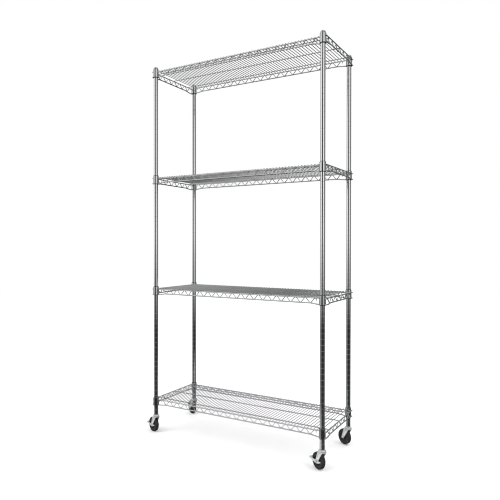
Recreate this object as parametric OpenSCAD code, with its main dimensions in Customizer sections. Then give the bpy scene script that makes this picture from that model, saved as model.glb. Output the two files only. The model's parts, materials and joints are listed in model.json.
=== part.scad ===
// Mobile wire shelving rack: four grooved chrome posts, four welded wire
// shelves held on split sleeves, and four stem casters, two with brakes.
// Millimetres, +Z up.  The origin is on the floor, midway between the posts.
// The front of the rack faces -Y.

/* [Rack] */
// Distance between post centres, left to right
post_span_x = 940; // [700:10:1400]
// Distance between post centres, front to back
post_span_y = 338; // [300:2:600]
// Number of one-inch groove steps in a post, cap included
post_steps = 72; // [72:1:86]

/* [Posts] */
// Outside diameter of a post
post_d = 22.2; // [22.2:0.1:22.6]
// Wall thickness of the post tube
post_wall = 1.4; // [1.2:0.1:1.6]
// Distance from one groove to the next
groove_pitch = 25.4; // [25.4:0.1:26]
// Width of a groove at the surface
groove_w = 3.2; // [2.8:0.1:3.4]
// Depth of a groove
groove_depth = 0.6; // [0.5:0.05:0.7]

/* [Shelf levels] */
// Groove that the bottom shelf sits on
level_bottom = 3; // [3:1:8]
// Groove that the lower middle shelf sits on
level_lower = 26; // [16:1:30]
// Groove that the upper middle shelf sits on
level_upper = 49; // [38:1:56]
// Groove that the top shelf sits on
level_top = 71; // [64:1:71]

/* [Shelf wires] */
// Diameter of the perimeter rods
rail_d = 5.6; // [5:0.2:6]
// Height between the upper and lower perimeter rods
rail_gap = 23; // [22:0.5:25]
// Diameter of the front-to-back deck wires
deck_d = 3.4; // [3:0.1:3.8]
// Number of deck wires
deck_count = 59; // [41:2:65]
// Diameter of the long wires under the deck
support_d = 4.6; // [4:0.1:5]
// Diameter of the zigzag truss wires
truss_d = 3.8; // [3.2:0.1:4]
// Length of one zigzag of the truss wire
truss_pitch = 48.1; // [44:0.1:52]
// Bend radius of the truss wire, at its centre line
truss_bend = 5.5; // [5:0.5:6.5]

/* [Casters] */
// Wheel diameter
wheel_d = 75; // [72:1:76]
// Wheel width
wheel_w = 19; // [16:1:20]
// Distance from the swivel axis to the axle, seen from above
trail = 24; // [22:1:28]
// Height of the post's lower end above the floor
post_foot_z = 97; // [97:0.5:100]
// Heading of the front left caster
heading_fl = 160; // [0:1:359]
// Heading of the front right caster
heading_fr = 150; // [0:1:359]
// Heading of the back left caster
heading_bl = 152; // [0:1:359]
// Heading of the back right caster
heading_br = 154; // [0:1:359]

/* [Hidden] */

chrome = [0.80, 0.81, 0.82];
zinc = [0.72, 0.73, 0.74];
black = [0.07, 0.07, 0.08];
tyre_grey = [0.16, 0.16, 0.17];
steel = [0.62, 0.62, 0.63];

px = post_span_x / 2;
py = post_span_y / 2;
pr = post_d / 2;
bore_r = pr - post_wall;
dome_h = 8;
post_len = post_steps * groove_pitch - dome_h;
fit = 0.05;

// a shelf's own height is that of the groove its sleeves hang on
function level_z(n) = post_foot_z + n * groove_pitch;
sleeve_lo = -31.8;
sleeve_hi = 15;
collar_lo = -29.4;
collar_hi = 12.4;
// outside radius of the tapered sleeve at height z
function sleeve_r(z) = pr + 2.0 - (z - sleeve_lo) * 1.0 / (sleeve_hi - sleeve_lo) + 0.5;
function collar_in(z) = sleeve_r(z) + fit;
function collar_out(z) = collar_in(z) + 1.8;

weld = 0.3;
rail_y = py - 3;
rail_x = px + collar_out(0) + rail_d / 2 - 0.5;
rail_end = px - collar_out(0) + 0.9;
rail_lo = -rail_gap;
rail_dip = 4.6;
deck_z = rail_d / 2 + deck_d / 2 - weld;
support_z = deck_z - deck_d / 2 - support_d / 2 + weld;
support_y = 0.78 * py;
deck_half = px - 8;
deck_pitch = 2 * deck_half / (deck_count - 1);
truss_y = rail_y - rail_d / 2 - truss_d / 2 + weld;
truss_x = rail_x - rail_d / 2 - truss_d / 2 + weld;
long_bays = floor((2 * px - 66) / truss_pitch);
side_bays = floor((2 * py - 44) / truss_pitch);

// caster heights above the floor
axle_z = wheel_d / 2;
crown_lo = 82;
crown_hi = 84.5;
ball_r = 2.5;
ball_ring = 12.2;
leg_in = wheel_w / 2 + 1.5;
leg_t = 2.2;
bolt_r = 3;
brake_in = leg_in + leg_t + 0.3;
brake_t = 1.5;

function unit2(v) = v / norm(v);

// round wire along a polyline of [x, z] points; each length runs a little past
// the corner, which closes the outside of the bend
module bent_wire(pts, d, past) union() {
  n = len(pts);
  for (i = [0:n - 2]) {
    u = unit2(pts[i + 1] - pts[i]);
    before = i == 0 ? 0 : past;
    after = i == n - 2 ? 0 : past;
    a = pts[i] - before * u;
    translate([a[0], 0, a[1]]) rotate([0, 90 - atan2(u[1], u[0]), 0])
      cylinder(d = d, h = norm(pts[i + 1] - pts[i]) + before + after, $fn = 32);
  }
}

// round wire swept along a polyline of [x, z] points, with a ring of sides at
// the start and end of every bend of radius r
function tilt(a, b, c) = atan2(cross(b - a, c - b), (b - a) * (c - b));
module swept_wire(pts, r, d, sides = 8) {
  n = len(pts);
  rings = concat([[pts[0], unit2(pts[1] - pts[0])]],
    [for (i = [1:n - 2]) let (
        u = unit2(pts[i] - pts[i - 1]), v = unit2(pts[i + 1] - pts[i]),
        t = 0.75 * r * tan(abs(tilt(pts[i - 1], pts[i], pts[i + 1])) / 2))
      each [[pts[i] - t * u, unit2(3 * u + v)], [pts[i] + t * v, unit2(u + 3 * v)]]],
    [[pts[n - 1], unit2(pts[n - 1] - pts[n - 2])]]);
  k = len(rings);
  polyhedron(
    points = [for (g = rings) for (j = [0:sides - 1]) let (a = 360 * (j + 0.5) / sides)
      [g[0][0] - g[1][1] * cos(a) * d / 2, sin(a) * d / 2, g[0][1] + g[1][0] * cos(a) * d / 2]],
    faces = concat([[for (j = [0:sides - 1]) j]],
      [for (i = [0:k - 2]) for (j = [0:sides - 1])
        [i * sides + j, (i + 1) * sides + j, (i + 1) * sides + (j + 1) % sides, i * sides + (j + 1) % sides]],
      [[for (j = [sides - 1:-1:0]) (k - 1) * sides + j]]),
    convexity = 10);
}

// straight round wire from a to b along X or Y
module wire_x(x0, x1, d) translate([x0, 0, 0]) rotate([0, 90, 0]) cylinder(d = d, h = x1 - x0, $fn = 32);
module wire_y(y0, y1, d) translate([0, y0, 0]) rotate([-90, 0, 0]) cylinder(d = d, h = y1 - y0, $fn = 32);

module at_corners() for (sx = [-1, 1], sy = [-1, 1]) translate([sx * px, sy * py, 0]) children();

// ---- posts -------------------------------------------------------------

// grooved tube, open at both ends
module post(sx, sy) color(chrome) translate([sx * px, sy * py, post_foot_z])
  rotate_extrude($fn = 96) polygon(concat(
    [[bore_r, 0], [pr, 0]],
    [for (k = [1:post_steps - 1]) for (p = [
        [pr, k * groove_pitch - groove_w / 2],
        [pr - groove_depth, k * groove_pitch - groove_w / 2 + groove_depth],
        [pr - groove_depth, k * groove_pitch + groove_w / 2 - groove_depth],
        [pr, k * groove_pitch + groove_w / 2]]) p],
    [[pr, post_len], [bore_r, post_len]]));

// moulded domed cap that plugs the top of a post
module post_caps() color(black) at_corners() translate([0, 0, post_foot_z + post_len]) {
  cap_r = (pr * pr + dome_h * dome_h) / (2 * dome_h);
  rotate_extrude($fn = 96) union() {
    intersection() {
      translate([0, dome_h - cap_r]) circle(r = cap_r, $fn = 96);
      translate([0, 0.02]) square([pr + 1, dome_h + 1]);
    }
    translate([0, -14]) square([bore_r - fit, 14.02]);
  }
}

// threaded plug pressed into the foot of a post; it takes the caster stem
module post_inserts() color(steel) at_corners() translate([0, 0, post_foot_z])
  difference() {
    union() {
      translate([0, 0, -1.5]) cylinder(r = pr, h = 1.48, $fn = 96);
      translate([0, 0, -0.5]) cylinder(r = bore_r - fit, h = 25, $fn = 96);
    }
    translate([0, 0, -5]) cylinder(r = 5.05, h = 40, $fn = 64);
  }

// ---- one shelf ---------------------------------------------------------

// front-to-back deck wires; the last one at each end stops on the collars
module deck_wires(n) color(chrome) translate([0, 0, level_z(n) + deck_z])
  for (i = [-(deck_count - 1) / 2:(deck_count - 1) / 2]) {
    x = i * deck_pitch;
    off = px - abs(x);
    end = off < collar_out(0) + deck_d ? py - sqrt(pow(collar_out(deck_z), 2) - off * off) + 0.6 : rail_y + 2;
    translate([x, 0, 0]) wire_y(-end, end, deck_d);
  }

// three long wires welded under the deck wires
module support_wires(n) color(chrome) translate([0, 0, level_z(n) + support_z]) {
  for (s = [-1, 1]) translate([0, s * support_y, 0]) wire_x(-rail_x + rail_d / 2 - 0.6, rail_x - rail_d / 2 + 0.6, support_d);
  wire_x(-truss_x + truss_d / 2 - 0.4, truss_x - truss_d / 2 + 0.4, support_d);
}

// upper and lower perimeter rods; the lower ones dip to the collar's foot
module rails(n) color(chrome) translate([0, 0, level_z(n)]) {
  for (s = [-1, 1]) {
    translate([0, s * rail_y, 0]) wire_x(-rail_end, rail_end, rail_d);
    translate([0, s * rail_y, 0]) bent_wire([[-rail_end, rail_lo - rail_dip], [-rail_end + 8, rail_lo - rail_dip],
      [-rail_end + 44, rail_lo], [rail_end - 44, rail_lo], [rail_end - 8, rail_lo - rail_dip],
      [rail_end, rail_lo - rail_dip]], rail_d, 0.4);
    translate([s * rail_x, 0, 0]) wire_y(-py - 7, py + 7, rail_d);
    translate([s * rail_x, 0, 0]) rotate([0, 0, 90]) bent_wire([[-py - 7, rail_lo - rail_dip],
      [-py + 20, rail_lo - rail_dip], [-py + 56, rail_lo], [py - 56, rail_lo],
      [py - 20, rail_lo - rail_dip], [py + 7, rail_lo - rail_dip]], rail_d, 0.4);
  }
}

// zigzag wires between the upper and lower rods, on their inner side
function zig(m) = [for (i = [0:2 * m]) [(i - m) * truss_pitch / 2, i % 2 == 0 ? 2.4 : rail_lo - 2.4]];
module truss_wires(n) color(chrome) translate([0, 0, level_z(n)]) {
  long_end = long_bays * truss_pitch / 2;
  side_end = side_bays * truss_pitch / 2;
  for (s = [-1, 1]) {
    translate([0, s * truss_y, 0]) swept_wire(concat([[-long_end - 7, -12]], zig(long_bays), [[long_end + 7, -12]]), truss_bend, truss_d);
    translate([s * truss_x, 0, 0]) rotate([0, 0, 90]) swept_wire(concat([[-side_end - 4, -10]], zig(side_bays), [[side_end + 4, -10]]), truss_bend, truss_d);
  }
}

// tapered steel collar at each corner of a shelf
module collars(n) color(chrome) at_corners() translate([0, 0, level_z(n)])
  rotate_extrude($fn = 96) polygon([
    [collar_in(collar_lo), collar_lo], [collar_out(collar_lo), collar_lo],
    [collar_out(collar_hi), collar_hi], [collar_in(collar_hi), collar_hi]]);

// plastic sleeves, two halves to a post, each with a bead in the post's groove
module sleeves(n) color(black) at_corners() translate([0, 0, level_z(n)])
  for (h = [0, 1]) rotate([0, 0, 180 * h + 32])
    rotate_extrude(angle = 176, $fn = 96) polygon(concat(
      [for (z = [sleeve_lo, -22, -12, -1.2, 1.2, sleeve_hi]) [sleeve_r(z), z]],
      [[pr + fit, sleeve_hi], [pr + fit, 1.2], [pr - 0.3, 0.9], [pr - 0.3, -0.9], [pr + fit, -1.2],
       [pr + fit, sleeve_lo]]));

// ---- casters -----------------------------------------------------------

// stem, raceway cup and king pin in one riveted piece
module caster_stems() color(zinc) at_corners() {
  cylinder_z(5, post_foot_z - 2, post_foot_z + 22);
  rotate_extrude($fn = 96) polygon([
    [0, crown_lo - 2.8], [6, crown_lo - 2.8], [7, crown_lo - 1.6], [7, crown_lo - 0.3], [4, crown_lo - 0.3],
    [4, crown_hi + 1.2], [8.4, crown_hi + 1.2], [8.4, crown_hi + 2 * ball_r + 0.1],
    [15.2, crown_hi + 2 * ball_r + 0.1], [15.2, crown_hi + 0.8], [17, crown_hi + 0.8],
    [17, crown_hi + 5], [15.6, crown_hi + 7], [12, crown_hi + 8.4], [9, crown_hi + 9],
    [9, post_foot_z - 1.52], [0, post_foot_z - 1.52]]);
}
module cylinder_z(r, z0, z1) translate([0, 0, z0]) cylinder(r = r, h = z1 - z0, $fn = 96);

// bearing balls of the four swivels
module caster_balls() color(steel) at_corners()
  for (a = [0:30:330]) rotate([0, 0, a]) translate([ball_ring, 0, crown_hi + ball_r + 0.05]) sphere(r = ball_r, $fn = 32);

// puts children at a caster, +X along its trail, +Y along its axle
module at_caster(sx, sy, heading) translate([sx * px, sy * py, 0]) rotate([0, 0, heading]) children();

// tangent point on a circle at c with radius r for a line from p; side is 1 or -1
function tangent(p, c, r, side) = let (v = p - c, d = norm(v), b = acos(r / d), a = atan2(v[1], v[0]) + side * b)
  c + r * [cos(a), sin(a)];

// stamped fork: a crown plate and two legs that taper down to the axle
module caster_fork(sx, sy, heading) color(zinc) at_caster(sx, sy, heading) difference() {
  axle = [trail, axle_z];
  union() {
    intersection() {
      cylinder_z(20.5, crown_lo, crown_hi);
      translate([-25, -leg_in - leg_t, crown_lo - 1]) cube([50, 2 * (leg_in + leg_t), 6]);
    }
    for (s = [-1, 1]) translate([0, s > 0 ? leg_in + leg_t : -leg_in, 0]) rotate([90, 0, 0])
      linear_extrude(height = leg_t) union() {
        polygon([[-15.5, crown_hi], [16.5, crown_hi], tangent([16.5, crown_hi], axle, 8, -1), axle,
          tangent([-15.5, crown_hi], axle, 8, 1)]);
        translate(axle) circle(r = 8, $fn = 64);
      }
  }
  cylinder_z(4 + fit, crown_lo - 2, crown_hi + 2);
  translate([trail, -40, axle_z]) rotate([-90, 0, 0]) cylinder(r = bolt_r + fit, h = 80, $fn = 64);
}

// how far out the bolt's head and nut sit
function clamp_y(braked) = leg_in + leg_t + (braked ? brake_t + 0.6 : 0) + 0.02;

module axle_bolt(sx, sy, heading, braked) color(zinc) at_caster(sx, sy, heading) translate([trail, 0, axle_z]) rotate([-90, 0, 0]) {
  translate([0, 0, -clamp_y(braked) - 3.6]) cylinder(r = 5.4, h = 3.6, $fn = 6);
  translate([0, 0, -clamp_y(braked) - 0.1]) cylinder(r = bolt_r, h = 2 * clamp_y(braked) + 6.1, $fn = 64);
}
module axle_nut(sx, sy, heading, braked) color(zinc) at_caster(sx, sy, heading) translate([trail, 0, axle_z]) rotate([-90, 0, 0])
  translate([0, 0, clamp_y(braked)]) difference() {
    cylinder(r = 5.4, h = 4.6, $fn = 6);
    translate([0, 0, -1]) cylinder(r = bolt_r + fit, h = 7, $fn = 64);
  }
module bushing(sx, sy, heading) color(steel) at_caster(sx, sy, heading) translate([trail, -leg_in + 0.05, axle_z]) rotate([-90, 0, 0])
  difference() {
    cylinder(r = 4.5, h = 2 * leg_in - 0.1, $fn = 64);
    translate([0, 0, -1]) cylinder(r = bolt_r + fit, h = 2 * leg_in + 2, $fn = 64);
  }

// moulded wheel centre
module hub(sx, sy, heading) color(black) at_caster(sx, sy, heading) translate([trail, 0, axle_z]) rotate([-90, 0, 0])
  rotate_extrude($fn = 128) polygon([
    [4.57, -wheel_w / 2 - 0.6], [9, -wheel_w / 2 - 0.6], [9.6, -4], [22, -3], [23.4, -wheel_w / 2 + 1],
    [26.97, -wheel_w / 2 + 1], [26.97, wheel_w / 2 - 1], [23.4, wheel_w / 2 - 1], [22, 3], [9.6, 4],
    [9, wheel_w / 2 + 0.6], [4.57, wheel_w / 2 + 0.6]]);

// tread ring with rounded shoulders
module tyre(sx, sy, heading) color(tyre_grey) at_caster(sx, sy, heading) translate([trail, 0, axle_z]) rotate([-90, 0, 0])
  rotate_extrude($fn = 128) difference() {
    union() {
      translate([27, -wheel_w / 2]) square([wheel_d / 2 - 30.5, wheel_w]);
      translate([27, -wheel_w / 2 + 3.5]) square([wheel_d / 2 - 27, wheel_w - 7]);
      for (s = [-1, 1]) translate([wheel_d / 2 - 3.5, s * (wheel_w / 2 - 3.5)]) circle(r = 3.5, $fn = 64);
    }
    translate([20, -20]) square([7, 40]);
  }

// stamped brake lever: two side plates on the axle, joined by the foot tab
module brake_lever(sx, sy, heading) color(zinc) at_caster(sx, sy, heading) difference() {
  axle = [trail, axle_z];
  tab = trail + wheel_d / 2 + 3.5;
  union() {
    for (s = [-1, 1]) translate([0, s > 0 ? brake_in + brake_t : -brake_in, 0]) rotate([90, 0, 0])
      linear_extrude(height = brake_t) union() {
        translate(axle) circle(r = 7, $fn = 64);
        polygon([axle + [-30, 4], axle + [-31, 0.5], axle + [-6, -9.6], axle + [5, -9.6],
          [tab + 2, axle_z - 1], [tab + 12, axle_z + 1.5], [tab + 12, axle_z + 4], [tab - 2, axle_z + 5.5],
          axle + [12, 2.5], axle + [-12, 1.5]]);
      }
    translate([0, brake_in + brake_t, 0]) rotate([90, 0, 0]) linear_extrude(height = 2 * (brake_in + brake_t))
      polygon([[tab, axle_z + 1.8], [tab + 12, axle_z + 2], [tab + 14.5, axle_z + 0.6], [tab + 15.4, axle_z + 1.8],
        [tab + 12.6, axle_z + 4], [tab, axle_z + 3.8]]);
  }
  translate([trail, -40, axle_z]) rotate([-90, 0, 0]) cylinder(r = bolt_r + fit, h = 80, $fn = 64);
}

// ---- nodes -------------------------------------------------------------

post(-1, -1);  // post_front_left
post(1, -1);  // post_front_right
post(-1, 1);  // post_back_left
post(1, 1);  // post_back_right
post_caps();
post_inserts();

deck_wires(level_top);  // shelf_top_deck_wires
support_wires(level_top);  // shelf_top_support_wires
rails(level_top);  // shelf_top_rails
truss_wires(level_top);  // shelf_top_truss_wires
collars(level_top);  // shelf_top_collars
sleeves(level_top);  // shelf_top_sleeves

deck_wires(level_upper);  // shelf_upper_deck_wires
support_wires(level_upper);  // shelf_upper_support_wires
rails(level_upper);  // shelf_upper_rails
truss_wires(level_upper);  // shelf_upper_truss_wires
collars(level_upper);  // shelf_upper_collars
sleeves(level_upper);  // shelf_upper_sleeves

deck_wires(level_lower);  // shelf_lower_deck_wires
support_wires(level_lower);  // shelf_lower_support_wires
rails(level_lower);  // shelf_lower_rails
truss_wires(level_lower);  // shelf_lower_truss_wires
collars(level_lower);  // shelf_lower_collars
sleeves(level_lower);  // shelf_lower_sleeves

deck_wires(level_bottom);  // shelf_bottom_deck_wires
support_wires(level_bottom);  // shelf_bottom_support_wires
rails(level_bottom);  // shelf_bottom_rails
truss_wires(level_bottom);  // shelf_bottom_truss_wires
collars(level_bottom);  // shelf_bottom_collars
sleeves(level_bottom);  // shelf_bottom_sleeves

caster_stems();
caster_balls();

caster_fork(-1, -1, heading_fl);  // caster_front_left_fork
axle_bolt(-1, -1, heading_fl, true);  // caster_front_left_axle_bolt
axle_nut(-1, -1, heading_fl, true);  // caster_front_left_axle_nut
bushing(-1, -1, heading_fl);  // caster_front_left_bushing
hub(-1, -1, heading_fl);  // caster_front_left_hub
tyre(-1, -1, heading_fl);  // caster_front_left_tyre

caster_fork(1, -1, heading_fr);  // caster_front_right_fork
axle_bolt(1, -1, heading_fr, true);  // caster_front_right_axle_bolt
axle_nut(1, -1, heading_fr, true);  // caster_front_right_axle_nut
bushing(1, -1, heading_fr);  // caster_front_right_bushing
hub(1, -1, heading_fr);  // caster_front_right_hub
tyre(1, -1, heading_fr);  // caster_front_right_tyre

caster_fork(-1, 1, heading_bl);  // caster_back_left_fork
axle_bolt(-1, 1, heading_bl, false);  // caster_back_left_axle_bolt
axle_nut(-1, 1, heading_bl, false);  // caster_back_left_axle_nut
bushing(-1, 1, heading_bl);  // caster_back_left_bushing
hub(-1, 1, heading_bl);  // caster_back_left_hub
tyre(-1, 1, heading_bl);  // caster_back_left_tyre

caster_fork(1, 1, heading_br);  // caster_back_right_fork
axle_bolt(1, 1, heading_br, false);  // caster_back_right_axle_bolt
axle_nut(1, 1, heading_br, false);  // caster_back_right_axle_nut
bushing(1, 1, heading_br);  // caster_back_right_bushing
hub(1, 1, heading_br);  // caster_back_right_hub
tyre(1, 1, heading_br);  // caster_back_right_tyre

brake_lever(-1, -1, heading_fl);  // brake_lever_front_left
brake_lever(1, -1, heading_fr);  // brake_lever_front_right
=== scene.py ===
import json
import math
import bmesh
import bpy
from mathutils import Matrix, Vector
from mathutils.geometry import tessellate_polygon


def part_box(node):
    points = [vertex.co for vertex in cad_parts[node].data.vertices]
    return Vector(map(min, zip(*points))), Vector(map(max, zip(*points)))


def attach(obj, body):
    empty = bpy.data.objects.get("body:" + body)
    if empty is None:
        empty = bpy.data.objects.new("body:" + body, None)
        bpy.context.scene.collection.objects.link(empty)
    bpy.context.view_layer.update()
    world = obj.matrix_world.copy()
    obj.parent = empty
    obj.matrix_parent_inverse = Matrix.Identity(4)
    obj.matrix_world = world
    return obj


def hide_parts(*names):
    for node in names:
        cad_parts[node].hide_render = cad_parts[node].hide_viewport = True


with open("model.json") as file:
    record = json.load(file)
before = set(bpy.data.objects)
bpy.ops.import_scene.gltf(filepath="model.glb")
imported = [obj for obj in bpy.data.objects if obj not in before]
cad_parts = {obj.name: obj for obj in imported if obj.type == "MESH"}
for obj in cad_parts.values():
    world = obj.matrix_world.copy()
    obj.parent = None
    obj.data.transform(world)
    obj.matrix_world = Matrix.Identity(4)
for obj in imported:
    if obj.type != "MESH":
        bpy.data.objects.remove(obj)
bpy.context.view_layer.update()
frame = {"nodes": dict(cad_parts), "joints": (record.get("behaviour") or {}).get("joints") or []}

scene = bpy.context.scene
MM = 0.001
CORNERS = {"front_left": (-1, -1), "front_right": (1, -1), "back_left": (-1, 1), "back_right": (1, 1)}
SHELVES = ("top", "upper", "lower", "bottom")


# ---- materials ------------------------------------------------------------

class Mat:
    """A Principled material with object-space procedural detail."""

    def __init__(self, name, metallic=0.0, rough=0.5, color=(0.5, 0.5, 0.5), **plain):
        self.mat = bpy.data.materials.new(name)
        self.mat.use_nodes = True
        self.nt = self.mat.node_tree
        self.bsdf = self.nt.nodes["Principled BSDF"]
        self.bsdf.inputs["Base Color"].default_value = (*color, 1)
        self.bsdf.inputs["Metallic"].default_value = metallic
        self.bsdf.inputs["Roughness"].default_value = rough
        for key, value in plain.items():
            self.bsdf.inputs[key.replace("_", " ")].default_value = value
        self.coord = self.node("ShaderNodeTexCoord").outputs["Object"]
        self.last_bump = None

    def node(self, kind, **props):
        n = self.nt.nodes.new(kind)
        for k, v in props.items():
            setattr(n, k, v)
        return n

    def link(self, a, b):
        self.nt.links.new(a, b)

    def noise(self, scale, detail=4.0, roughness=0.55, stretch=(1, 1, 1), distortion=0.0):
        mapping = self.node("ShaderNodeMapping")
        mapping.inputs["Scale"].default_value = stretch
        self.link(self.coord, mapping.inputs["Vector"])
        n = self.node("ShaderNodeTexNoise")
        n.inputs["Scale"].default_value = scale
        n.inputs["Detail"].default_value = detail
        n.inputs["Roughness"].default_value = roughness
        n.inputs["Distortion"].default_value = distortion
        self.link(mapping.outputs["Vector"], n.inputs["Vector"])
        return n.outputs["Fac"]

    def cells(self, scale, stretch=(1, 1, 1), feature="F1"):
        mapping = self.node("ShaderNodeMapping")
        mapping.inputs["Scale"].default_value = stretch
        self.link(self.coord, mapping.inputs["Vector"])
        n = self.node("ShaderNodeTexVoronoi", feature=feature)
        n.inputs["Scale"].default_value = scale
        self.link(mapping.outputs["Vector"], n.inputs["Vector"])
        return n.outputs["Distance"]

    def ramp(self, fac, stops):
        r = self.node("ShaderNodeValToRGB")
        r.color_ramp.elements[0].position, r.color_ramp.elements[0].color = stops[0][0], (*stops[0][1], 1)
        r.color_ramp.elements[1].position, r.color_ramp.elements[1].color = stops[-1][0], (*stops[-1][1], 1)
        for pos, col in stops[1:-1]:
            e = r.color_ramp.elements.new(pos)
            e.color = (*col, 1)
        self.link(fac, r.inputs["Fac"])
        return r.outputs["Color"]

    def range(self, fac, a, b, lo=0.3, hi=0.7):
        m = self.node("ShaderNodeMapRange")
        m.inputs["From Min"].default_value, m.inputs["From Max"].default_value = lo, hi
        m.inputs["To Min"].default_value, m.inputs["To Max"].default_value = a, b
        self.link(fac, m.inputs["Value"])
        return m.outputs["Result"]

    def mix(self, fac, a, b):
        m = self.node("ShaderNodeMix", data_type="RGBA")
        self.link(fac, m.inputs["Factor"])
        self.link(a, m.inputs["A"])
        self.link(b, m.inputs["B"])
        return m.outputs["Result"]

    def color(self, out):
        self.link(out, self.bsdf.inputs["Base Color"])
        return self

    def rough(self, out):
        self.link(out, self.bsdf.inputs["Roughness"])
        return self

    def bump(self, height, strength, distance):
        b = self.node("ShaderNodeBump")
        b.inputs["Strength"].default_value = strength
        b.inputs["Distance"].default_value = distance
        self.link(height, b.inputs["Height"])
        if self.last_bump is not None:
            self.link(self.last_bump, b.inputs["Normal"])
        self.last_bump = b.outputs["Normal"]
        self.link(self.last_bump, self.bsdf.inputs["Normal"])
        return self


def chrome(name, tint, r0, r1, stretch=(1, 1, 1), drawn=0.10):
    m = Mat(name, metallic=1.0, rough=r0, color=tint)
    big = m.noise(9.0, 3.0, stretch=stretch)
    fine = m.noise(420.0, 5.0, stretch=stretch)
    dull = tuple(c * 0.86 for c in tint)
    warm = (tint[0] * 0.95, tint[1] * 0.93, tint[2] * 0.90)
    m.color(m.ramp(big, [(0.28, dull), (0.5, tint), (0.74, warm)]))
    spots = m.range(m.cells(310.0), 0.0, 1.0, 0.02, 0.20)
    rough = m.node("ShaderNodeMath", operation="MULTIPLY_ADD")
    m.link(m.range(fine, r0, r1), rough.inputs[0])
    m.link(m.range(big, 0.85, 1.25), rough.inputs[1])
    pits = m.node("ShaderNodeMath", operation="MULTIPLY")
    pits.inputs[1].default_value = -0.03
    m.link(spots, pits.inputs[0])
    m.link(pits.outputs[0], rough.inputs[2])
    keep = m.node("ShaderNodeMath", operation="MAXIMUM")
    keep.inputs[1].default_value = 0.03
    m.link(rough.outputs[0], keep.inputs[0])
    m.rough(keep.outputs[0])
    m.bump(fine, drawn, 0.00004)
    m.bump(m.noise(60.0, 2.0, stretch=stretch), 0.12, 0.00012)
    return m.mat


def zinc():
    m = Mat("zinc_plate", metallic=0.72, rough=0.3, color=(0.66, 0.68, 0.70))
    cloud = m.noise(70.0, 5.0)
    grain = m.cells(260.0)
    a = m.ramp(cloud, [(0.30, (0.66, 0.69, 0.72)), (0.52, (0.82, 0.84, 0.85)), (0.72, (0.86, 0.84, 0.78))])
    b = m.ramp(grain, [(0.0, (0.62, 0.64, 0.67)), (0.6, (0.88, 0.90, 0.91))])
    pick = m.node("ShaderNodeMix", data_type="RGBA")
    pick.inputs["Factor"].default_value = 0.35
    m.link(a, pick.inputs["A"])
    m.link(b, pick.inputs["B"])
    m.color(pick.outputs["Result"])
    m.rough(m.range(cloud, 0.16, 0.32))
    m.bump(m.noise(900.0, 4.0), 0.18, 0.00005)
    return m.mat


def steel():
    m = Mat("steel", metallic=1.0, rough=0.2, color=(0.60, 0.60, 0.61))
    m.color(m.ramp(m.noise(140.0, 4.0), [(0.3, (0.46, 0.46, 0.48)), (0.7, (0.66, 0.66, 0.66))]))
    m.rough(m.range(m.noise(600.0, 3.0), 0.14, 0.30))
    m.bump(m.noise(1200.0, 2.0), 0.10, 0.00003)
    return m.mat


def plastic(name, dark, light, r0, r1, grain=1500.0, depth=0.00004):
    m = Mat(name, rough=r0, color=dark)
    m.bsdf.inputs["Specular IOR Level"].default_value = 0.5
    m.color(m.ramp(m.noise(85.0, 5.0), [(0.32, dark), (0.70, light)]))
    m.rough(m.range(m.noise(230.0, 4.0), r0, r1))
    m.bump(m.cells(grain), 0.35, depth)
    m.bump(m.noise(28.0, 2.0), 0.10, 0.0004)
    return m.mat


def rubber():
    m = Mat("tyre_rubber", rough=0.62, color=(0.022, 0.022, 0.024))
    m.bsdf.inputs["Specular IOR Level"].default_value = 0.3
    dust = m.noise(55.0, 6.0, 0.65)
    m.color(m.ramp(dust, [(0.35, (0.014, 0.014, 0.016)), (0.58, (0.026, 0.026, 0.028)), (0.78, (0.060, 0.058, 0.055))]))
    m.rough(m.range(dust, 0.50, 0.78))
    m.bump(m.noise(1100.0, 5.0), 0.35, 0.00006)
    m.bump(m.noise(130.0, 3.0), 0.20, 0.00015)
    return m.mat


POST = chrome("post_chrome", (0.90, 0.91, 0.92), 0.03, 0.07, stretch=(1, 1, 0.08), drawn=0.06)
GROOVE = chrome("post_groove", (0.86, 0.87, 0.88), 0.05, 0.12)
WIRE = chrome("wire_chrome", (0.80, 0.81, 0.82), 0.07, 0.16, drawn=0.16)
CAP = chrome("cap_chrome", (0.74, 0.75, 0.76), 0.04, 0.10, drawn=0.05)
WELD = chrome("weld_chrome", (0.74, 0.74, 0.74), 0.16, 0.30, drawn=0.4)
COLLAR = chrome("collar_chrome", (0.74, 0.75, 0.76), 0.04, 0.10, drawn=0.06)
ZINC = zinc()
STEEL = steel()
BLACK = plastic("black_plastic", (0.012, 0.012, 0.013), (0.026, 0.026, 0.028), 0.22, 0.38)
HUB = plastic("hub_plastic", (0.016, 0.016, 0.018), (0.034, 0.034, 0.036), 0.34, 0.52)
RUBBER = rubber()


# ---- mesh building --------------------------------------------------------

class Mesh:
    """Closed shells collected in millimetres, each with a material index."""

    def __init__(self):
        self.v, self.f, self.m = [], [], []

    def add(self, verts, faces, mat=0, to=None):
        k = len(self.v)
        self.v += [tuple(to @ Vector(p)) if to is not None else tuple(p) for p in verts]
        self.f += [tuple(i + k for i in f) for f in faces]
        self.m += mat if isinstance(mat, list) else [mat] * len(faces)

    def build(self, name, materials, angle=35.0, to=None):
        me = bpy.data.meshes.new(name)
        me.from_pydata([tuple(c * MM for c in p) for p in self.v], [], self.f)
        for m in materials:
            me.materials.append(m)
        me.polygons.foreach_set("material_index", self.m)
        bm = bmesh.new()
        bm.from_mesh(me)
        bmesh.ops.recalc_face_normals(bm, faces=bm.faces)
        bm.to_mesh(me)
        bm.free()
        if to is not None:
            me.transform(to)
        ob = bpy.data.objects.new(name, me)
        scene.collection.objects.link(ob)
        smooth(ob, angle)
        return ob


def smooth(ob, angle):
    ob.data.shade_smooth()
    ob.data.set_sharp_from_angle(angle=math.radians(angle))


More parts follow.
